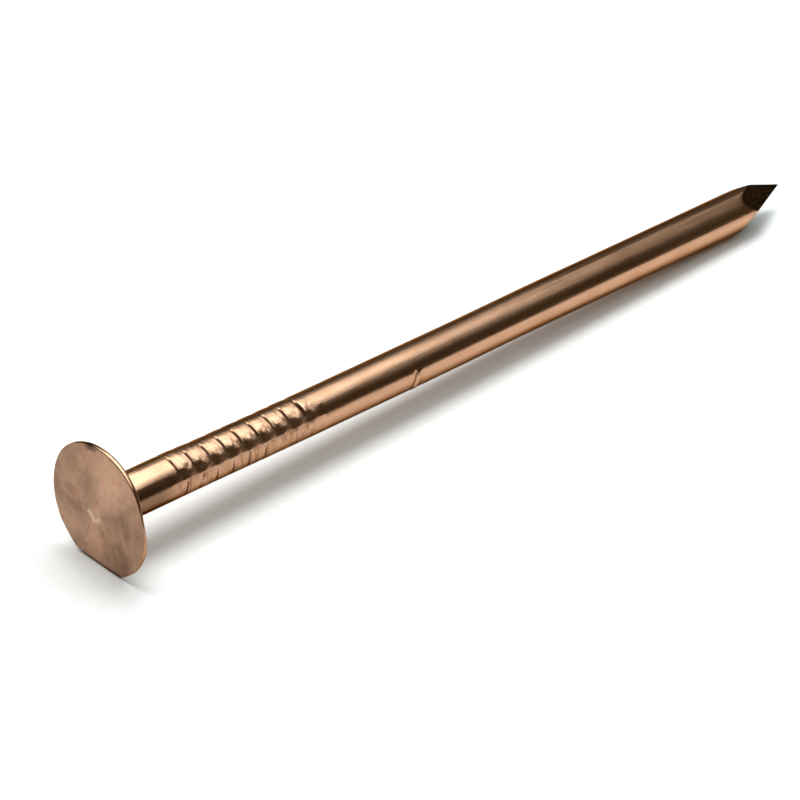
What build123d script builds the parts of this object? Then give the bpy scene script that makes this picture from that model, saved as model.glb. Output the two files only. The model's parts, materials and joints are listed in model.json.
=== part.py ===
from build123d import *
from math import atan2, cos, degrees, radians, sin
import os

# Copper clout nail: one length of drawn wire with a wide flat head upset on
# one end, gripping-die marks under the head and a four-sided diamond point.
#
# Frame, in millimetres: +X runs along the shank from the head to the point.
# The origin is on the shank's axis, at the head's underside, the face that
# bears on the work. +Z is up, away from the flat on the head's rim, which the
# nail lies on. Directions round the shank are angles from +Z towards -Y.

# Wire and overall length: 11 gauge, 2 1/2 inches from underside to tip.
SHANK_DIAMETER = 3.05
NAIL_LENGTH = 63.5
SHANK_RADIUS = SHANK_DIAMETER / 2

# Head: nominal 3/8 inch, thinner at the rim than at the shank.
HEAD_DIAMETER = 9.5
HEAD_THICKNESS = 0.9
UNDERSIDE_FLAT_DIAMETER = 6.8
RIM_SLOPE = 0.5
FACE_EDGE_ROUND = 0.12
RIM_BACK_ROUND = 0.1
UNDERHEAD_FILLET = 0.35
HEAD_RADIUS = HEAD_DIAMETER / 2

# Flat on the rim, left where the upset metal met the edge of the dies.
FLAT_HALF_ANGLE = 25
FLAT_DROP = HEAD_RADIUS * cos(radians(FLAT_HALF_ANGLE))

# Gripping marks: two half-round dies squeeze the wire, each with its own
# row of teeth. The dies meet along two lines, a little apart at each.
DIE_ARC = 170
GROOVE_DEPTH = 0.07
GROOVE_WIDTH = 0.3
GROOVE_PITCH = 1.38
GROOVE_COUNT = 9
UPPER_DIE_START_ANGLE = -105
UPPER_DIE_FIRST_GROOVE = 5.0
LOWER_DIE_START_ANGLE = 75
LOWER_DIE_FIRST_GROOVE = 5.6
END_MARK_WIDTH = 0.6
END_MARK_AT = 17.7

# Diamond point: facet directions round the shank, with the distance from the
# tip to the middle of each facet's back edge. The tip is a little off centre.
POINT_FACETS = {37: 4.9, 126: 5.4, 217: 4.8, 307: 4.7}
TIP_OFFSET = 0.47
TIP_OFFSET_ANGLE = -36
TIP_FLAT = 0.12


def outward(angle):
    """Unit vector square to the shank, at an angle from +Z towards -Y."""
    return Vector(0, -sin(radians(angle)), cos(radians(angle)))


def half_plane(angle):
    """Sketch plane through the axis: local x is +X, local y points outward."""
    across = outward(angle)
    return Plane(origin=(0, 0, 0), x_dir=(1, 0, 0), z_dir=Vector(1, 0, 0).cross(across))


def facet_plane(angle, heel):
    """Plane of one facet, through the tip and its back edge, facing outward."""
    across = outward(angle)
    tip = Vector(NAIL_LENGTH, 0, 0) + outward(TIP_OFFSET_ANGLE) * TIP_OFFSET
    rise = SHANK_RADIUS - tip.dot(across)
    slope = atan2(rise, heel)
    normal = across * cos(slope) + Vector(1, 0, 0) * sin(slope)
    return Plane(origin=tip, z_dir=normal)


with BuildPart() as nail:
    # Head and shank are one turned outline.
    with BuildSketch(Plane.XZ) as outline:
        with BuildLine():
            Polyline(
                (-HEAD_THICKNESS, 0),
                (-HEAD_THICKNESS, HEAD_RADIUS),
                (-RIM_SLOPE, HEAD_RADIUS),
                (0, UNDERSIDE_FLAT_DIAMETER / 2),
                (0, SHANK_RADIUS),
                (NAIL_LENGTH, SHANK_RADIUS),
                (NAIL_LENGTH, 0),
                close=True,
            )
        make_face()
        for corner, radius in (
            ((-HEAD_THICKNESS, HEAD_RADIUS), FACE_EDGE_ROUND),
            ((-RIM_SLOPE, HEAD_RADIUS), RIM_BACK_ROUND),
            ((0, SHANK_RADIUS), UNDERHEAD_FILLET),
        ):
            fillet(outline.vertices().sort_by_distance(corner)[0], radius=radius)
    revolve(axis=Axis.X)

    # Flat on the rim.
    split(bisect_by=Plane(origin=(0, 0, -FLAT_DROP), z_dir=(0, 0, 1)), keep=Keep.TOP)

    # Teeth marks of both dies: V grooves across each half of the shank.
    rows = (
        (UPPER_DIE_START_ANGLE, UPPER_DIE_FIRST_GROOVE),
        (LOWER_DIE_START_ANGLE, LOWER_DIE_FIRST_GROOVE),
    )
    marks = [
        (start, first + k * GROOVE_PITCH, GROOVE_WIDTH)
        for start, first in rows
        for k in range(GROOVE_COUNT)
    ]
    marks.append((LOWER_DIE_START_ANGLE, END_MARK_AT, END_MARK_WIDTH))
    for start, at, width in marks:
        with BuildSketch(half_plane(start)):
            with BuildLine():
                Polyline(
                    (at - width, SHANK_RADIUS + GROOVE_DEPTH),
                    (at + width, SHANK_RADIUS + GROOVE_DEPTH),
                    (at, SHANK_RADIUS - GROOVE_DEPTH),
                    close=True,
                )
            make_face()
        revolve(axis=Axis.X, revolution_arc=DIE_ARC, mode=Mode.SUBTRACT)

    # Diamond point, with the very tip blunted.
    for angle, heel in POINT_FACETS.items():
        split(bisect_by=facet_plane(angle, heel), keep=Keep.BOTTOM)
    split(bisect_by=Plane(origin=(NAIL_LENGTH - TIP_FLAT, 0, 0), z_dir=(1, 0, 0)), keep=Keep.BOTTOM)

nail.part.label = "nail"

os.makedirs("parts", exist_ok=True)
export_step(nail.part, "parts/nail.step")

heels = ", ".join(f"{angle} deg: {heel}" for angle, heel in POINT_FACETS.items())
rest_tilt = degrees(atan2(FLAT_DROP - SHANK_RADIUS, NAIL_LENGTH - min(POINT_FACETS.values())))
print(f"volume {nail.part.volume:.1f} mm3, copper mass {nail.part.volume * 8.94e-3:.2f} g")
print(f"flat {FLAT_DROP:.3f} below the axis, rests tilted about {rest_tilt:.2f} deg, facets {heels}")
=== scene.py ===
import json
from math import atan2, ceil, cos, exp, hypot, log, pi, radians, sin, sqrt

import bmesh
import bpy
from mathutils import Matrix, Vector, noise


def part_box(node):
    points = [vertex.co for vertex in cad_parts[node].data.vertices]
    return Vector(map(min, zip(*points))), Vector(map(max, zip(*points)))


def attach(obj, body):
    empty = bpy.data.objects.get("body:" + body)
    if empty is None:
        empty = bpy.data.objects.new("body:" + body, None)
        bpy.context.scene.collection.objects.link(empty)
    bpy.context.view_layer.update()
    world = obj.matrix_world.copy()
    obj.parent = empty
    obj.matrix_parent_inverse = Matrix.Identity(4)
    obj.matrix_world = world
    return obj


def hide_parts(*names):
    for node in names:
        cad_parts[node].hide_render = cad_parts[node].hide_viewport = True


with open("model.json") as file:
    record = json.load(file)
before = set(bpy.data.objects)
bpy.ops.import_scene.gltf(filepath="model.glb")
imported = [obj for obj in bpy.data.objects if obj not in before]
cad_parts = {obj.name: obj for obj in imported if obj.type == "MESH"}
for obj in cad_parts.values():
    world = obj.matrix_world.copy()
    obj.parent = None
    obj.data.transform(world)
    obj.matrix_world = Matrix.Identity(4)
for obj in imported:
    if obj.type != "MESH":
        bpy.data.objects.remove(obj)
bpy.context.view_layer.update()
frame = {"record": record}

# Copper clout nail, lying on the flat of its head's rim and on its shank.
# Shapes are worked out in millimetres and scaled to metres at the end.
# Directions round the shank are angles in degrees from +Z (up) towards -Y.
MM = 0.001
mount = {m["name"]: m for m in frame["record"]["mounts"]}

# ---------------------------------------------------------------- sizes, mm
low, high = (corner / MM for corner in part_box("nail"))
FACE_X = low.x
TIP_X = high.x
HEAD_RADIUS = high.z
FLAT_DROP = -low.z
SHANK_RADIUS = mount["shank"]["dims"]["r_mm"]
# The point's facets would meet a little past its blunted end.
TIP_BLUNTING = 0.12
NAIL_LENGTH = TIP_X + TIP_BLUNTING

# Head: thin at the rim, its underside sloping back to a flat by the shank.
RIM_THICKNESS = 0.4
FACE_EDGE_ROUND = 0.08
RIM_BACK_ROUND = 0.1
UNDERSIDE_FLAT_RADIUS = 3.4
UNDERHEAD_FILLET = 0.35
# Rounding of the two corners where the flat cuts the rim.
FAR_CORNER_MELT = 0.15
NEAR_CORNER_MELT = 0.03
RIM_CLEARANCE = 0.01
RIM_RAGGEDNESS = 0.012

# Where the upset metal stopped short of a full circle: angle, reach each
# side in degrees, and how far it falls short.
RIM_SHORTFALLS = (
    (-138, 13, 0.09),
    (-85, 26, 0.07),
    (72, 20, 0.13),
    (118, 18, 0.05),
    (-110, 16, 0.03),
)
# Where the rim is thicker or thinner than usual: angle, reach, change.
RIM_THICKENINGS = (
    (18, 26, 0.06),
    (78, 24, -0.16),
    (-160, 20, 0.05),
)

# Darker patch on the rim: angle and reach in degrees.
RIM_DARK_PATCH = (-11, 9)

# Small V left on the face by the header: its apex across and up, in mm from
# the middle, then each arm's lean in degrees and length.
VEE_APEX = (-0.2, -1.13)
VEE_ARMS = ((-44, 1.2), (33, 0.9))
VEE_WIDTH = 0.21
VEE_HEIGHT = 0.04

# Relief of the face: how far it falls away to the rim and above the flat,
# the header's turning rings, and broad and small dents.
FACE_CROWN = 0.05
FACE_TUCK = 0.14
FACE_TUCK_REACH = 0.45
RING_HEIGHT = 0.0022
RING_PITCH = 0.42
BROAD_DENTS = 0.016
SMALL_DENTS = 0.007
UNDERSIDE_DENTS = 0.03
# Depth of metal behind the face within which its relief dies out.
RELIEF_FADE = 0.2

# Gripping marks, x places along the shank. The upper die bites deeper.
GRIP_ZONE = (4.2, 18.6)
GRIP_PITCH = 1.38
UPPER_MARKS = [4.98 + GRIP_PITCH * k for k in range(9)]
UPPER_MARK_DEPTHS = (0.05, 0.055, 0.05, 0.06, 0.065, 0.065, 0.06, 0.065, 0.065)
UPPER_MARK_WIDTH = 0.044
LAST_MARK_WIDTH = 0.085
LOWER_MARK_WIDTH = 0.075
LOWER_MARKS = (5.6, 6.95, 8.2, 9.6, 11.0, 12.4, 13.4, 14.8, 16.1)
LOWER_MARK_DEPTHS = (0.036, 0.018, 0.02, 0.024, 0.013, 0.016, 0.011, 0.014, 0.011)
# Raised lip beside a mark, as a share of the mark's depth.
LIP_SHARE = 0.06
# Depths at which a mark is quite full of dark oxide.
FILLED_UPPER_MARK = 0.06
FILLED_LOWER_MARK = 0.03
# Wire between the teeth: barrelled out, pinched in, and unevenly crushed.
BARREL_HEIGHT = 0.006
HOLLOW_DEPTH = 0.034
HOLLOW_SHIFT = 0.45
COARSE_CRUSH = 0.008
FINE_CRUSH = 0.006
END_MARK_X = 17.7
END_MARK_DEPTH = 0.03
# Seams where the two dies met, by direction, how far they stand up, and where
# along the wire they run, with a soft border.
DIE_SEAMS = (71, -110)
SEAM_HEIGHT = 0.01
SEAM_STRETCH = (2.6, 18.4, 1)

# Where along the wire it was gripped, and which sides of it: the middle of each
# die's side and its reach each way, then sides from one direction to another,
# with a soft border.
GRIPPED_STRETCH = (4.4, 17.6, 1.2)
UPPER_DIE_SIDE = -20
LOWER_DIE_SIDE = 160
DIE_REACH = 88
CRUSHED_SIDE = (38, 140, 16)
SCUFFED_SIDE = (64, 130, 14)
END_MARK_SIDE = (40, 118, 18)
# Side of the wire painted with shade just under the head.
PAINTED_SHADE_SIDE = (48, 150, 22)

# Direction of the paler wedges painted on the struck face as its highlight, and how far the point they
# spread from is moved to the face's middle.
WEDGE_ANGLE = 22
WEDGE_SHIFT = (0, -0.4, 0.8)
# Length of the waver in the wedges, and pitch of the header's finest rings.
SPOKE_RIPPLE = 1 / 0.7
HEADER_RING_PITCH = 0.2

# Wire: fatter just under the head on its upper side, fully up to one x and no
# longer at the next, and slightly bowed over a stretch with soft ends.
FLARE = 0.09
FLARE_START = 5.2
FLARE_END = 8.6
BOW = 0.05
BOW_STRETCH = (7, 39, 9)
# Fuller on its far side as well, as far as the middle.
FAR_FULLNESS = 0.03
SURFACE_WAVES = 0.007
SURFACE_LINES = 0.003
# The fillet under the head keeps its turned shape; the wire's own begins here.
NECK_END = 1.2
WIRE_START = (0.3, 2.6)

# Nick across the near side.
NICK_X = 26.05
NICK_ZONE = (24.6, 27.4)
NICK_SIDE = (66, 142, 14)
NICK_DEPTH = 0.07
NICK_LEAN = 0.25

# Diamond point: the way each facet faces and how far back from the tip it
# starts, then how far and which way the tip is off the axis, and the rounding
# between facets.
POINT_START = 57.4
POINT_FACETS = {37: 4.9, 126: 5.4, 217: 4.8, 307: 4.7}
TIP_OFFSET = 0.47
TIP_OFFSET_ANGLE = -36
FACET_EDGE = 0.022

# Mesh: spokes round the axis, and how close its rings stand, in mm along the
# outline. Each stretch is from x, to x, spacing; the first that fits holds.
SPOKES = 150
PLAIN_SPACING = 0.4
RING_STRETCHES = (
    (FACE_X - 0.01, FACE_X + 0.01, 0.075),
    (TIP_X - 0.01, TIP_X + 0.01, 0.5),
    (FACE_X, NECK_END, 0.12),
    (*GRIP_ZONE, 0.051),
    (*NICK_ZONE, 0.09),
    (POINT_START, TIP_X, 0.09),
)

# What each vertex carries for the finishes: dark oxide, with painted shade on the wire just under the
# head, and how crushed it is, which on the face is the small V painted paler as a highlight.
OXIDE_AND_SHADE = "oxide"
CRUSHED = "crushed"
OXIDE_AND_SHADE_COLOUR = "2E1A10"

# Vertices up to here, the head's underside, belong to the head.
HEAD_END = 0.0001

# Places of the finishes on the nail, after the wire's.
HEAD_FINISH = 1
POINT_FINISH = 2


# ------------------------------------------------------------ small helpers
def outward(angle):
    """Unit vector in the Y, Z plane, square to the shank."""
    return Vector((-sin(radians(angle)), cos(radians(angle))))


def turn_between(angle, other):
    """Signed difference of two directions, from -180 to 180 degrees."""
    return (angle - other + 180) % 360 - 180


def bump(value, centre, reach):
    """Soft hill of height 1."""
    return exp(-(((value - centre) / reach) ** 2))


def side_bump(angle, facing, reach):
    """Soft hill of height 1 on the side that faces one way, in degrees."""
    return bump(turn_between(angle, facing), 0, reach)


def ramp(value, start, end):
    """Smooth step from 0 at start to 1 at end."""
    t = min(1, max(0, (value - start) / (end - start)))
    return t * t * (3 - 2 * t)


def window(value, start, end, soft):
    """1 between start and end, fading over a soft border inside them."""
    return ramp(value, start, start + soft) * ramp(value, end, end - soft)


def soft_min(values, softness):
    """Least of the values, with the change from one to another rounded."""
    least = min(values)
    return least - softness * log(sum(exp((least - v) / softness) for v in values))


# ------------------------------------------------------------------- shapes
def ring_spacing(x):
    """How close the mesh's rings stand at x, in mm."""
    for start, end, spacing in RING_STRETCHES:
        if start < x < end:
            return spacing
    return PLAIN_SPACING


def turned_blank():
    """Head and wire as one turned shape, closed, from a bevelled half outline."""
    bm = bmesh.new()
    corners = (
        (FACE_X, 0, 0),
        (FACE_X, HEAD_RADIUS, FACE_EDGE_ROUND),
        (FACE_X + RIM_THICKNESS, HEAD_RADIUS, RIM_BACK_ROUND),
        (0, UNDERSIDE_FLAT_RADIUS, 0),
        (0, SHANK_RADIUS, UNDERHEAD_FILLET),
        (NECK_END, SHANK_RADIUS, 0),
        (GRIP_ZONE[0], SHANK_RADIUS, 0),
        (GRIP_ZONE[1], SHANK_RADIUS, 0),
        (NICK_ZONE[0], SHANK_RADIUS, 0),
        (NICK_ZONE[1], SHANK_RADIUS, 0),
        (POINT_START, SHANK_RADIUS, 0),
        (TIP_X, SHANK_RADIUS, 0),
        (TIP_X, 0, 0),
    )
    chain = [bm.verts.new((x, 0, radius)) for x, radius, _ in corners]
    for start, end in zip(chain, chain[1:]):
        bm.edges.new((start, end))
    for vert, (_, _, rounding) in zip(chain, corners):
        if rounding:
            bmesh.ops.bevel(
                bm,
                geom=[vert],
                offset=rounding,
                segments=6,
                profile=0.5,
                affect="VERTICES",
                material=-1,
            )
    for edge in list(bm.edges):
        middle = (edge.verts[0].co + edge.verts[1].co) / 2
        cuts = ceil(edge.calc_length() / ring_spacing(middle.x)) - 1
        if cuts > 0:
            bmesh.ops.subdivide_edges(bm, edges=[edge], cuts=cuts)
    bmesh.ops.spin(
        bm,
        geom=bm.verts[:] + bm.edges[:],
        cent=(0, 0, 0),
        axis=(1, 0, 0),
        angle=2 * pi,
        steps=SPOKES,
        use_merge=True,
    )
    bmesh.ops.remove_doubles(bm, verts=bm.verts, dist=0.001)
    bmesh.ops.recalc_face_normals(bm, faces=bm.faces)
    return bm


def rim_reach(angle):
    """Radius of the head's outline: a circle that fell short in places, cut by the flat."""
    reach = HEAD_RADIUS - RIM_CLEARANCE
    for centre, width, depth in RIM_SHORTFALLS:
        reach -= depth * side_bump(angle, centre, width)
    reach -= RIM_RAGGEDNESS * (1 + noise.noise(outward(angle).to_3d() * 2.3))
    below = -cos(radians(angle))
    # Only the lower part of the rim comes near the flat.
    if below > 0.3:
        melt = NEAR_CORNER_MELT if angle > 0 else FAR_CORNER_MELT
        reach = soft_min((reach, FLAT_DROP / below), melt)
    return reach


def vee_print(across, up):
    """1 on the small V left by the header, a little below the face's middle."""
    aside, above = across - VEE_APEX[0], up - VEE_APEX[1]
    strength = 0.0
    for lean, length in VEE_ARMS:
        tilt = radians(lean)
        along = aside * sin(tilt) + above * cos(tilt)
        off = aside * cos(tilt) - above * sin(tilt)
        strength = max(strength, bump(off, 0, VEE_WIDTH) * window(along, -0.1, length, 0.3))
    return strength


def face_relief(across, up):
    """How far the header die's print sinks the face, in mm."""
    radius = hypot(across, up)
    crown = FACE_CROWN * ramp(radius, 2.6, HEAD_RADIUS)
    rings = RING_HEIGHT * sin(2 * pi * radius / RING_PITCH) * window(radius, 0.3, 4.4, 0.5)
    dents = BROAD_DENTS * noise.noise(Vector((across, up, 3.1)) * 0.75)
    dents += SMALL_DENTS * noise.noise(Vector((across, up, 8.4)) * 1.9)
    tucked = FACE_TUCK * ramp(-up, FLAT_DROP - FACE_TUCK_REACH, FLAT_DROP) ** 2
    vee = VEE_HEIGHT - VEE_HEIGHT * vee_print(across, up)
    return max(0, crown + rings + dents + tucked + vee)


def shape_head(vert, oxide_and_shade_of, crush_of):
    """Moves one vertex of the head to the worn, hand-made outline and relief."""
    x, y, z = vert.co
    radius = hypot(y, z)
    angle = atan2(-y, z) * 180 / pi
    spread = ramp(radius, SHANK_RADIUS + 0.4, HEAD_RADIUS - 0.4)
    radius *= 1 + (rim_reach(angle) / HEAD_RADIUS - 1) * spread
    behind = ramp(x, FACE_X + 0.1, FACE_X + RIM_THICKNESS)
    for centre, width, change in RIM_THICKENINGS:
        x += behind * change * side_bump(angle, centre, width) * ramp(radius, 3.2, 4.6)
    out = outward(angle) * radius
    vert[oxide_and_shade_of] = side_bump(angle, *RIM_DARK_PATCH) * ramp(radius, 4.15, 4.5)
    if x < FACE_X + RELIEF_FADE:
        # The small V's share, which the face's finish paints paler as a highlight.
        vert[crush_of] = vee_print(-out.x, out.y)
        x += face_relief(-out.x, out.y) * (1 - ramp(x, FACE_X, FACE_X + RELIEF_FADE))
    else:
        # The gripping dies pressed the underside satin.
        vert[crush_of] = window(radius, 1.8, 4.5, 0.3)
        dents = UNDERSIDE_DENTS * noise.noise(Vector((out.x, out.y, 5.0)) * 0.9)
        x += dents * ramp(radius, 1.9, 3.0) * (1 - behind)
    vert.co = (x, out.x, out.y)


def wire_surface(x, angle):
    """Height of the drawn wire's surface over its nominal radius, before any marks."""
    waves = SURFACE_WAVES * noise.noise(Vector((x * 0.22, *outward(angle))))
    lines = SURFACE_LINES * noise.noise(Vector((x * 0.05, *(outward(angle) * 5.5))))
    flare = FLARE * side_bump(angle, -35, 62) * ramp(x, FLARE_END, FLARE_START)
    bow = -BOW * window(x, *BOW_STRETCH) * cos(radians(turn_between(angle, -42)))
    full = FAR_FULLNESS * side_bump(angle, 140, 50) * ramp(x, 34, 26)
    return waves + lines + flare + bow + full


def cut(along, width):
    """Section of one tooth's mark: a V with a low raised lip on its point side."""
    return bump(along, 0, width) - LIP_SHARE * bump(along, 2.8 * width, 2.2 * width)


def upper_bite(angle):
    """How hard the upper die bit: all round its side, but hardly at the very top."""
    held = window(turn_between(angle, UPPER_DIE_SIDE), -DIE_REACH, DIE_REACH, 20)
    return held * (0.12 + 0.88 * ramp(angle, 3, 12) + 0.75 * ramp(angle, -16, -30))


def tooth_marks(x, angle):
    """Height change by the teeth of both dies, and the dark oxide held in their marks."""
    height, darkening = 0.0, 0.0
    upper = upper_bite(angle)
    spread = 0.08 * ramp(angle, -16, -30)
    for at, depth in zip(UPPER_MARKS, UPPER_MARK_DEPTHS):
        bent = at + 0.12 * ramp(angle, 10, 60)
        width = LAST_MARK_WIDTH if at == UPPER_MARKS[-1] else UPPER_MARK_WIDTH
        wander = 1 + 0.35 * noise.noise(Vector((at, angle * 0.05, 0)))
        mark = cut(x - bent, width + spread) * upper * wander
        height -= depth * mark
        darkening += max(0, mark) * depth / FILLED_UPPER_MARK
    lower = window(turn_between(angle, LOWER_DIE_SIDE), -DIE_REACH, DIE_REACH, 14)
    for at, depth in zip(LOWER_MARKS, LOWER_MARK_DEPTHS):
        bent = at - 0.05 * ramp(angle, 80, 120)
        mark = cut(x - bent, LOWER_MARK_WIDTH) * lower
        height -= depth * mark
        darkening += max(0, mark) * depth / FILLED_LOWER_MARK
    return height, darkening


def grip_marks(x, angle):
    """Height change by the gripping dies, the dark oxide held there, and how crushed it is."""
    height, darkening = tooth_marks(x, angle)
    zone = window(x, *GRIPPED_STRETCH)
    # Between two teeth the wire barrels out, and it is pinched in by the dies' edge.
    along = 2 * pi * (x - UPPER_MARKS[0]) / GRIP_PITCH
    height += BARREL_HEIGHT * (0.5 - 0.5 * cos(along)) * zone * upper_bite(angle)
    hollow = cos(along - 2 * pi * HOLLOW_SHIFT / GRIP_PITCH)
    height -= HOLLOW_DEPTH * hollow * zone * side_bump(angle, 58, 11)
    crushed = zone * window(angle, *CRUSHED_SIDE) * (0.65 - 0.35 * hollow)
    # Scuffs across the wire on the lower die's side.
    scuff = noise.noise(Vector((x * 5.2, angle * 0.03, 7.7)))
    darkening += zone * window(angle, *SCUFFED_SIDE) * min(0.5, max(0, 2.4 * scuff))
    for facing in DIE_SEAMS:
        height += SEAM_HEIGHT * window(x, *SEAM_STRETCH) * side_bump(angle, facing, 4)
    uneven = zone * (0.4 + 1.8 * side_bump(angle, 60, 24) + side_bump(angle, -60, 40))
    height += COARSE_CRUSH * noise.noise(Vector((x * 1.5, *(outward(angle) * 2.6)))) * uneven
    height += FINE_CRUSH * noise.noise(Vector((x * 3.6, *(outward(angle) * 4.5)))) * uneven
    height -= END_MARK_DEPTH * bump(x, END_MARK_X, 0.22) * window(angle, *END_MARK_SIDE)
    return height, darkening, crushed


def nick(x, angle):
    """Height change by the nick, a leaning cut with its lip turned up, and its oxide."""
    at = NICK_X - NICK_LEAN * ramp(angle, 66, 130)
    reach = window(angle, *NICK_SIDE)
    mark = bump(x - at, 0, 0.1) - 0.7 * bump(x - at, 0.3, 0.17)
    return -NICK_DEPTH * reach * mark, max(0, mark) * reach


def facet_limits(x, centre, across):
    """How far each facet of the point lets the metal reach, from a centre at x."""
    tip = outward(TIP_OFFSET_ANGLE) * TIP_OFFSET
    limits = []
    for facing, heel in POINT_FACETS.items():
        normal = outward(facing)
        rise = SHANK_RADIUS - tip.dot(normal)
        slope = atan2(rise, heel)
        toward = across.dot(normal) * cos(slope)
        if toward > 0.02:
            room = (NAIL_LENGTH - x) * sin(slope) + (tip - centre).dot(normal) * cos(slope)
            limits.append(room / toward)
    return limits


def shape_shank(vert, oxide_and_shade_of, crush_of):
    """Moves one vertex of the wire to its drawn, gripped, nicked and pointed surface."""
    x, y, z = vert.co
    radius = hypot(y, z)
    angle = atan2(-y, z) * 180 / pi
    across = outward(angle)
    height, darkening, crushed = wire_surface(x, angle), 0.0, 0.0
    if GRIP_ZONE[0] < x < GRIP_ZONE[1]:
        marks, darkening, crushed = grip_marks(x, angle)
        height += marks
    # Painted shade on the wire's lower, near side just under the head, standing in for the head's
    # shadow that the metal mirrors there.
    darkening += 0.75 * ramp(x, 6.5, 3) * window(angle, *PAINTED_SHADE_SIDE)
    if NICK_ZONE[0] < x < NICK_ZONE[1]:
        dent, stain = nick(x, angle)
        height += dent
        darkening += stain
    radius += height * ramp(x, *WIRE_START)
    centre = outward(TIP_OFFSET_ANGLE) * TIP_OFFSET * ramp(x, POINT_START, NAIL_LENGTH)
    if x > POINT_START:
        # Rings of the end's own disc keep their share of the full reach.
        share = hypot(y, z) / SHANK_RADIUS
        along = centre.dot(across)
        full = SHANK_RADIUS + height
        round_limit = sqrt(full**2 - centre.length_squared + along**2) - along
        limits = facet_limits(x, centre, across) + [round_limit]
        softness = FACET_EDGE * min(1, min(limits) / 0.5)
        radius = share * soft_min(limits, softness)
    place = centre + across * radius
    vert.co = (x, place.x, place.y)
    vert[oxide_and_shade_of] = min(1, darkening)
    vert[crush_of] = crushed


def make_nail():
    """The nail: turned blank, then every vertex pressed to its place."""
    bm = turned_blank()
    oxide_and_shade_of = bm.verts.layers.float.new(OXIDE_AND_SHADE)
    crush_of = bm.verts.layers.float.new(CRUSHED)
    for face in bm.faces:
        face.smooth = True
        if face.normal.x < -0.7:
            face.material_index = HEAD_FINISH
    for vert in bm.verts:
        if vert.co.x <= HEAD_END:
            shape_head(vert, oxide_and_shade_of, crush_of)
        else:
            shape_shank(vert, oxide_and_shade_of, crush_of)
    # The facets are the faces of the point that lean towards its tip.
    for face in bm.faces:
        face.normal_update()
        if face.calc_center_median().x > POINT_START and face.normal.x > 0.12:
            face.material_index = POINT_FINISH
    bmesh.ops.scale(bm, vec=(MM, MM, MM), verts=bm.verts)
    mesh = bpy.data.meshes.new("copper_nail")
    bm.to_mesh(mesh)
    bm.free()
    piece = bpy.data.objects.new("copper_nail", mesh)
    bpy.context.scene.collection.objects.link(piece)
    return piece


# ---------------------------------------------------------------- materials
def linear(code):
    """Linear colour of an sRGB hex value such as "CFA285"."""
    parts = [int(code[i : i + 2], 16) / 255 for i in (0, 2, 4)]
    return tuple(p / 12.92 if p <= 0.04045 else ((p + 0.055) / 1.055) ** 2.4 for p in parts) + (1,)


def add(tree, kind, settings=None, links=None, out=0):
    """Adds a node, sets its values, links its inputs, and gives one of its outputs.

    Sockets go by name or number. A Map Range takes a value 0 from the range 1 to 2 into
    the range 3 to 4, and a Mix of colours goes by a share 0 from 6 to 7, with output 2.
    """
    node = tree.nodes.new(kind)
    for name, value in (settings or {}).items():
        if isinstance(name, int) or name in node.inputs:
            node.inputs[name].default_value = value
        else:
            setattr(node, name, value)
    for name, source in (links or {}).items():
        tree.links.new(source, node.inputs[name])
    return node.outputs[out] if node.outputs else None


def new_material(name):
    """A material with an empty node tree."""
    material = bpy.data.materials.new(name)
    material.use_nodes = True
    material.node_tree.nodes.clear()
    return material, material.node_tree


def grain(tree, place, size, detail=3.0, rough=0.55):
    """Noise whose grain measures size, a length along X, Y and Z in mm."""
    scale = tuple(1 / (length * MM) for length in size)
    spread = add(tree, "ShaderNodeMapping", {"Scale": scale}, {"Vector": place})
    settings = {"Scale": 1.0, "Detail": detail, "Roughness": rough}
    return add(tree, "ShaderNodeTexNoise", settings, {"Vector": spread}, out="Fac")


def drawn_copper_wire():
    """Drawn copper: bright, with fine lines along the wire that stretch its highlights,
    a brown bloom in patches, dark oxide held in the gripping marks, painted shade on
    its lower side just under the head, and satin where the dies crushed it."""
    material, tree = new_material("drawn_copper_wire")
    place = add(tree, "ShaderNodeTexCoord", out="Object")
    # Die lines are about 0.02 mm apart on real wire; drawn here at 0.07 mm so that they show.
    lines = grain(tree, place, (7.0, 0.07, 0.07))
    broad = grain(tree, place, (14.0, 0.35, 0.35))
    bloom = grain(tree, place, (2.2, 0.8, 0.8))
    oxide = add(tree, "ShaderNodeAttribute", {"attribute_name": OXIDE_AND_SHADE}, out="Fac")
    crushed = add(tree, "ShaderNodeAttribute", {"attribute_name": CRUSHED}, out="Fac")

    banded = add(tree, "ShaderNodeMapRange", {1: 0.35, 2: 0.65}, {0: broad})
    tones = {"data_type": "RGBA", 6: linear("C79A7C"), 7: linear("BD9074")}
    metal = add(tree, "ShaderNodeMix", tones, {0: banded}, out=2)
    bloomed = add(tree, "ShaderNodeMapRange", {1: 0.45, 2: 0.8, 4: 0.45}, {0: bloom})
    tones = {"data_type": "RGBA", 7: linear("A27255")}
    tarnished = add(tree, "ShaderNodeMix", tones, {0: bloomed, 6: metal}, out=2)
    # The oxide share also carries the painted shade under the head.
    darkened = add(tree, "ShaderNodeMapRange", {1: 0.25, 4: 0.9}, {0: oxide})
    tones = {"data_type": "RGBA", 7: linear(OXIDE_AND_SHADE_COLOUR)}
    colour = add(tree, "ShaderNodeMix", tones, {0: darkened, 6: tarnished}, out=2)

    drawn = add(tree, "ShaderNodeMapRange", {1: 0.3, 2: 0.7, 3: 0.18, 4: 0.27}, {0: lines})
    settings = {"operation": "MULTIPLY_ADD", 1: 0.13}
    gloss = add(tree, "ShaderNodeMath", settings, {0: crushed, 2: drawn})
    dents = add(tree, "ShaderNodeBump", {"Strength": 0.35, "Distance": 0.004 * MM}, {"Height": lines})
    shader = add(
        tree,
        "ShaderNodeBsdfPrincipled",
        {"Metallic": 1.0, "Specular Tint": linear("8C7458")},
        {"Base Color": colour, "Roughness": gloss, "Normal": dents},
    )
    add(tree, "ShaderNodeOutputMaterial", None, {"Surface": shader})
    return material


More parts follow.
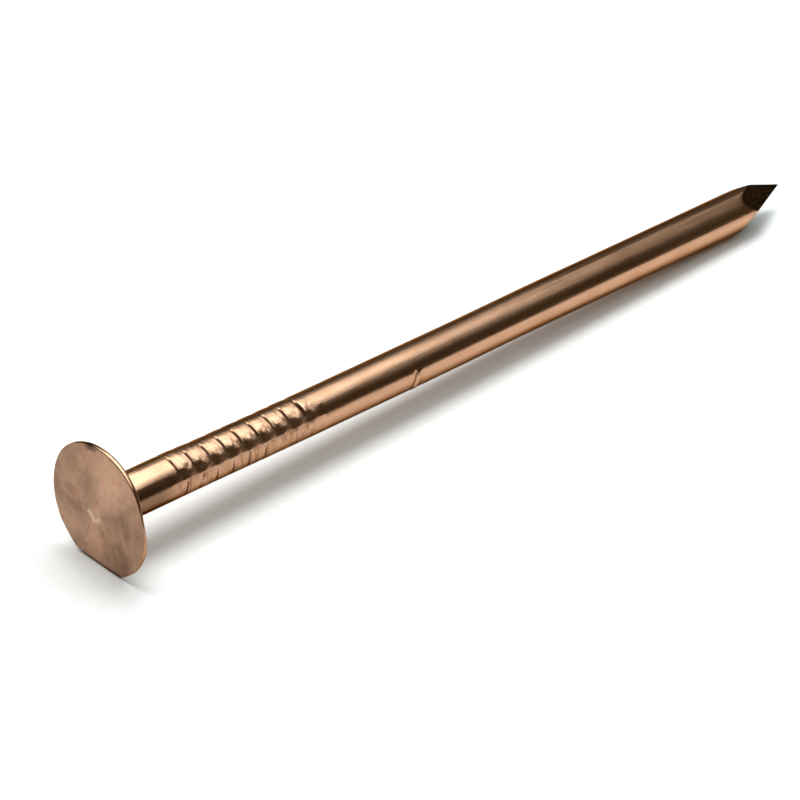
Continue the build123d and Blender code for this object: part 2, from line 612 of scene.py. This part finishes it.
def header_rings(tree, place):
    """Faint rings turned in the header die."""
    settings = {
        "wave_type": "RINGS",
        "rings_direction": "X",
        "Scale": 2 * pi / (20 * HEADER_RING_PITCH * MM),
        "Distortion": 1.5,
        "Detail": 2.0,
        "Detail Scale": 2.0,
    }
    return add(tree, "ShaderNodeTexWave", settings, {"Vector": place}, out="Fac")


def painted_highlight_wedges(tree, place):
    """Painted highlight: soft paler wedges spreading from a point a little off centre, as the turned
    face's highlight.
    """
    shift = {"Location": tuple(length * MM for length in WEDGE_SHIFT)}
    from_middle = add(tree, "ShaderNodeMapping", shift, {"Vector": place})
    settings = {"operation": "MULTIPLY", 1: (0, 1, 1)}
    flat = add(tree, "ShaderNodeVectorMath", settings, {0: from_middle})
    spoke = add(tree, "ShaderNodeVectorMath", {"operation": "NORMALIZE"}, {0: flat})
    scale = {"Scale": (1 / (SPOKE_RIPPLE * MM),) * 3}
    ripple = add(tree, "ShaderNodeMapping", scale, {"Vector": place})
    settings = {"Scale": 1.0, "Detail": 3.0}
    waver = add(tree, "ShaderNodeTexNoise", settings, {"Vector": ripple}, out="Color")
    settings = {"operation": "MULTIPLY_ADD", 1: (0.9, 0.9, 0.9)}
    bent_spoke = add(tree, "ShaderNodeVectorMath", settings, {0: waver, 2: spoke})
    # The grain is laid out on the spokes' directions, so its sizes aren't lengths.
    streaks = grain(tree, bent_spoke, (900, 620, 620), 1.0)
    axis = outward(WEDGE_ANGLE)
    settings = {"operation": "DOT_PRODUCT", 1: (0, axis.x, axis.y)}
    along = add(tree, "ShaderNodeVectorMath", settings, {0: spoke}, out="Value")
    wedge = add(tree, "ShaderNodeMath", {"operation": "MULTIPLY"}, {0: along, 1: along})
    settings = {"operation": "MULTIPLY_ADD", 1: 0.22}
    return add(tree, "ShaderNodeMath", settings, {0: wedge, 2: streaks})


def upset_copper_head():
    """Copper cold-headed against a die: satin, pinkish brown, with faint rings from the die,
    cloudy patches, paler wedges as a painted highlight, and its small V painted paler as a highlight."""
    material, tree = new_material("upset_copper_head")
    place = add(tree, "ShaderNodeTexCoord", out="Object")
    clouds = grain(tree, place, (1.6, 1.3, 1.7), 4.0, 0.6)
    warm = grain(tree, place, (0.9, 0.8, 0.8), 3.0, 0.6)
    fine = grain(tree, place, (0.06, 0.06, 0.06), 2.0)
    oxide = add(tree, "ShaderNodeAttribute", {"attribute_name": OXIDE_AND_SHADE}, out="Fac")
    pressed = add(tree, "ShaderNodeAttribute", {"attribute_name": CRUSHED}, out="Fac")

    # Painted highlight: the paler wedges, added to the random clouds.
    links = {0: painted_highlight_wedges(tree, place), 1: clouds}
    cloudy = add(tree, "ShaderNodeMath", {"operation": "ADD"}, links)
    clouded = add(tree, "ShaderNodeMapRange", {1: 0.85, 2: 1.3}, {0: cloudy})
    tones = {"data_type": "RGBA", 6: linear("866650"), 7: linear("BD957A")}
    metal = add(tree, "ShaderNodeMix", tones, {0: clouded}, out=2)
    reddened = add(tree, "ShaderNodeMapRange", {1: 0.5, 2: 0.75, 4: 0.6}, {0: warm})
    tones = {"data_type": "RGBA", 7: linear("AC745F")}
    warmed = add(tree, "ShaderNodeMix", tones, {0: reddened, 6: metal}, out=2)
    # Painted highlight: the small V is paler than the rest of the face.
    vee_highlight_share = add(tree, "ShaderNodeMapRange", {1: 0.1, 4: 0.55}, {0: pressed})
    tones = {"data_type": "RGBA", 7: linear("E0C4AE")}
    vee_highlighted = add(tree, "ShaderNodeMix", tones, {0: vee_highlight_share, 6: warmed}, out=2)
    darkened = add(tree, "ShaderNodeMapRange", {1: 0.2, 4: 0.85}, {0: oxide})
    tones = {"data_type": "RGBA", 7: linear(OXIDE_AND_SHADE_COLOUR)}
    colour = add(tree, "ShaderNodeMix", tones, {0: darkened, 6: vee_highlighted}, out=2)

    gloss = add(tree, "ShaderNodeMapRange", {1: 0.35, 2: 0.65, 3: 0.42, 4: 0.52}, {0: clouds})
    settings = {"operation": "MULTIPLY_ADD", 1: 0.6}
    height = add(tree, "ShaderNodeMath", settings, {0: header_rings(tree, place), 2: fine})
    dents = add(tree, "ShaderNodeBump", {"Strength": 0.4, "Distance": 0.006 * MM}, {"Height": height})
    tangent = add(tree, "ShaderNodeTangent", {"direction_type": "RADIAL", "axis": "X"})
    shader = add(
        tree,
        "ShaderNodeBsdfPrincipled",
        {"Metallic": 1.0, "Anisotropic": 0.5},
        {"Base Color": colour, "Roughness": gloss, "Normal": dents, "Tangent": tangent},
    )
    add(tree, "ShaderNodeOutputMaterial", None, {"Surface": shader})
    return material


def pinched_copper_point():
    """Copper cut by pinching jaws: smooth, with scores along each facet, and painted dark all over as
    painted shade on the point's facets.
    """
    material, tree = new_material("pinched_copper_point")
    place = add(tree, "ShaderNodeTexCoord", out="Object")
    scores = grain(tree, place, (2.5, 0.12, 0.12))
    stain = grain(tree, place, (1.1, 0.7, 0.7))
    stained = add(tree, "ShaderNodeMapRange", {1: 0.35, 2: 0.65}, {0: stain})
    # Painted shade: the point's copper is far darker than the wire's, with random blotches.
    tones = {"data_type": "RGBA", 6: linear("7A5A42"), 7: linear("553F2C")}
    colour = add(tree, "ShaderNodeMix", tones, {0: stained}, out=2)
    gloss = add(tree, "ShaderNodeMapRange", {1: 0.3, 2: 0.7, 3: 0.18, 4: 0.28}, {0: scores})
    dents = add(tree, "ShaderNodeBump", {"Strength": 0.35, "Distance": 0.006 * MM}, {"Height": scores})
    shader = add(
        tree,
        "ShaderNodeBsdfPrincipled",
        {"Metallic": 1.0},
        {"Base Color": colour, "Roughness": gloss, "Normal": dents},
    )
    add(tree, "ShaderNodeOutputMaterial", None, {"Surface": shader})
    return material


nail = make_nail()
for finish in (drawn_copper_wire(), upset_copper_head(), pinched_copper_point()):
    nail.data.materials.append(finish)
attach(nail, "root")
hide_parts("nail")

# ------------------------------------------------------------------- studio
# The nail rests on its rim flat and on the shank's end, just before the point,
# so the floor rises towards the point in the nail's own frame.
rest_front = Vector((-0.3, 0, -FLAT_DROP)) * MM
rest_back = Vector((60.2, 0, -SHANK_RADIUS - 0.01)) * MM
floor_run = (rest_back - rest_front).normalized()
floor_normal = floor_run.cross(Vector((0, 1, 0))).normalized()
floor_turn = Matrix((floor_run, floor_normal.cross(floor_run), floor_normal)).transposed().to_4x4()
floor_place = Matrix.Translation(rest_front) @ floor_turn
FLOOR_REACH = 1500

# Dark card in front of the nail: how near it comes, how far it reaches, and how
# far it is off the floor, in mm.
APRON_START = 21
APRON_REACH = 600
APRON_LIFT = 0.3


def lay_card(name, corners, material):
    """A flat card with four corners, in mm on the floor, laid on the floor."""
    bm = bmesh.new()
    bm.faces.new([bm.verts.new(Vector(corner) * MM) for corner in corners])
    bmesh.ops.transform(bm, matrix=floor_place, verts=bm.verts)
    mesh = bpy.data.meshes.new(name)
    bm.to_mesh(mesh)
    bm.free()
    mesh.materials.append(material)
    laid = bpy.data.objects.new(name, mesh)
    bpy.context.scene.collection.objects.link(laid)
    return laid


def card_corners(reach, near, far, lift):
    """Corners of a card: its reach each way along the nail, from how far behind the nail
    to how far behind it, and its height off the floor."""
    return ((-reach, near, lift), (reach, near, lift), (reach, far, lift), (-reach, far, lift))


def pale_floor():
    """White card, matt, on which the nail lies."""
    material, tree = new_material("matt_white_card")
    place = add(tree, "ShaderNodeTexCoord", out="Object")
    tooth = grain(tree, place, (0.5, 0.5, 0.5))
    toothed = add(tree, "ShaderNodeMapRange", {1: 0.3, 2: 0.7}, {0: tooth})
    tones = {"data_type": "RGBA", 6: linear("EFEFEE"), 7: linear("ECECEB")}
    colour = add(tree, "ShaderNodeMix", tones, {0: toothed}, out=2)
    settings = {"Roughness": 0.9, "Specular IOR Level": 0.0}
    shader = add(tree, "ShaderNodeBsdfPrincipled", settings, {"Base Color": colour})
    add(tree, "ShaderNodeOutputMaterial", None, {"Surface": shader})
    lay_card("floor_card", card_corners(FLOOR_REACH, -FLOOR_REACH, FLOOR_REACH, 0), material)


def dark_apron():
    """Dark card lying in front of the nail. Only the metal sees it, as the lower edge of
    the dark band along the wire."""
    material, tree = new_material("black_felt")
    shader = add(tree, "ShaderNodeBsdfDiffuse", {"Color": linear("2A231A")})
    add(tree, "ShaderNodeOutputMaterial", None, {"Surface": shader})
    corners = card_corners(APRON_REACH, -APRON_START, -APRON_REACH, APRON_LIFT)
    apron = lay_card("dark_apron", corners, material)
    apron.visible_camera = False
    apron.visible_diffuse = False
    apron.visible_shadow = False


def light(name, kind, place, aim, settings, turn=0.0):
    """Adds a light at a place, facing its aim, its width along the nail unless turned."""
    lamp = bpy.data.lights.new(name, kind)
    for key, value in settings.items():
        setattr(lamp, key, value)
    back = (place - aim).normalized()
    along = (Vector((1, 0, 0)) - back * back.x).normalized()
    facing = Matrix((along, back.cross(along), back)).transposed().to_4x4()
    holder = bpy.data.objects.new(name, lamp)
    holder.matrix_world = Matrix.Translation(place) @ facing @ Matrix.Rotation(turn, 4, "Z")
    bpy.context.scene.collection.objects.link(holder)
    return holder


# Daylight tubes, a little bluer than the rest, so that the copper's highlight goes pale.
TUBE_COLOUR = (0.88, 1.0, 1.03)


def softbox(name, radiance, size, place, aim, turn=0.0):
    """Adds a rectangular softbox of an even radiance, its width and depth in metres."""
    width, depth = size
    settings = {"shape": "RECTANGLE", "size": width, "size_y": depth, "color": TUBE_COLOUR}
    settings["energy"] = radiance * pi * width * depth
    return light(name, "AREA", place, aim, settings, turn)


def leaning_place(aim, lean, distance):
    """Place over an aim, leaning back behind the nail by an angle from upright."""
    return aim + distance * Vector((0, sin(lean), cos(lean)))


pale_floor()
dark_apron()

# The lights' places are in metres. Key: small and nearly overhead, for the soft
# shadow under the shank. Fill: broad, and it lightens that shadow.
HEAD_MIDDLE = Vector((0, 0, 0))
KEY_PLACE = Vector((0, 0.088, 0.4))
KEY_SETTINGS = {"energy": 2.3, "angle": radians(35)}
FILL_PLACE = Vector((-0.1, -0.05, 0.4))
FILL_SETTINGS = {"energy": 0.7, "angle": radians(110)}
key = light("key", "SUN", KEY_PLACE, HEAD_MIDDLE, KEY_SETTINGS)
fill = light("fill", "SUN", FILL_PLACE, HEAD_MIDDLE, FILL_SETTINGS)
key.visible_glossy = False
fill.visible_glossy = False

# Strip softbox past the point end: the bright band along the wire.
STRIP_AIM = Vector((0.236, 0, 0))
STRIP_SIZE = (0.17, 1.18)
STRIP_TURN = radians(6)
strip_place = leaning_place(STRIP_AIM, radians(12.5), 0.42)
softbox("strip_softbox", 4.0, STRIP_SIZE, strip_place, STRIP_AIM, STRIP_TURN)

# Dim ceiling panel behind the nail, which the far end of the wire mirrors.
CEILING_AIM = Vector((0.1, 0, 0))
CEILING_SIZE = (1.1, 0.1)
ceiling_place = leaning_place(CEILING_AIM, radians(28), 0.5)
softbox("ceiling_panel", 0.38, CEILING_SIZE, ceiling_place, CEILING_AIM)

# Dim surroundings for the metal to mirror, behind a pale backdrop.
world = bpy.data.worlds.new("studio")
bpy.context.scene.world = world
world.use_nodes = True
sky = world.node_tree
sky.nodes.clear()
surround = add(sky, "ShaderNodeBackground", {"Color": linear("F8E09A"), "Strength": 0.062})
backdrop = add(sky, "ShaderNodeBackground", {"Color": linear("F4F4F2"), "Strength": 1.0})
straight = add(sky, "ShaderNodeLightPath", out="Is Camera Ray")
choice = add(sky, "ShaderNodeMixShader", None, {0: straight, 1: surround, 2: backdrop})
add(sky, "ShaderNodeOutputWorld", None, {"Surface": choice})
bpy.context.scene.view_settings.view_transform = "Standard"

# ------------------------------------------------------------------- camera
CAMERA_AIM = Vector((26.01, 0, -2.59)) * MM
CAMERA_AZIMUTH = radians(-43.84)
CAMERA_ELEVATION = radians(32.91)
CAMERA_DISTANCE = 342.6 * MM
CAMERA_ROLL = radians(2.19)
LENS_MM = 225

toward_camera = Vector(
    (
        sin(CAMERA_AZIMUTH) * cos(CAMERA_ELEVATION),
        -cos(CAMERA_AZIMUTH) * cos(CAMERA_ELEVATION),
        sin(CAMERA_ELEVATION),
    )
)
level = Vector((0, 0, 1)).cross(toward_camera).normalized()
camera_right = Matrix.Rotation(CAMERA_ROLL, 3, toward_camera) @ level
camera_up = toward_camera.cross(camera_right)
camera_turn = Matrix((camera_right, camera_up, toward_camera)).transposed().to_4x4()
camera_place = CAMERA_AIM + toward_camera * CAMERA_DISTANCE
camera = bpy.data.objects.new("camera", bpy.data.cameras.new("camera"))
camera.data.lens = LENS_MM
camera.data.clip_start = 0.01
camera.matrix_world = Matrix.Translation(camera_place) @ camera_turn
bpy.context.scene.collection.objects.link(camera)
bpy.context.scene.camera = camera
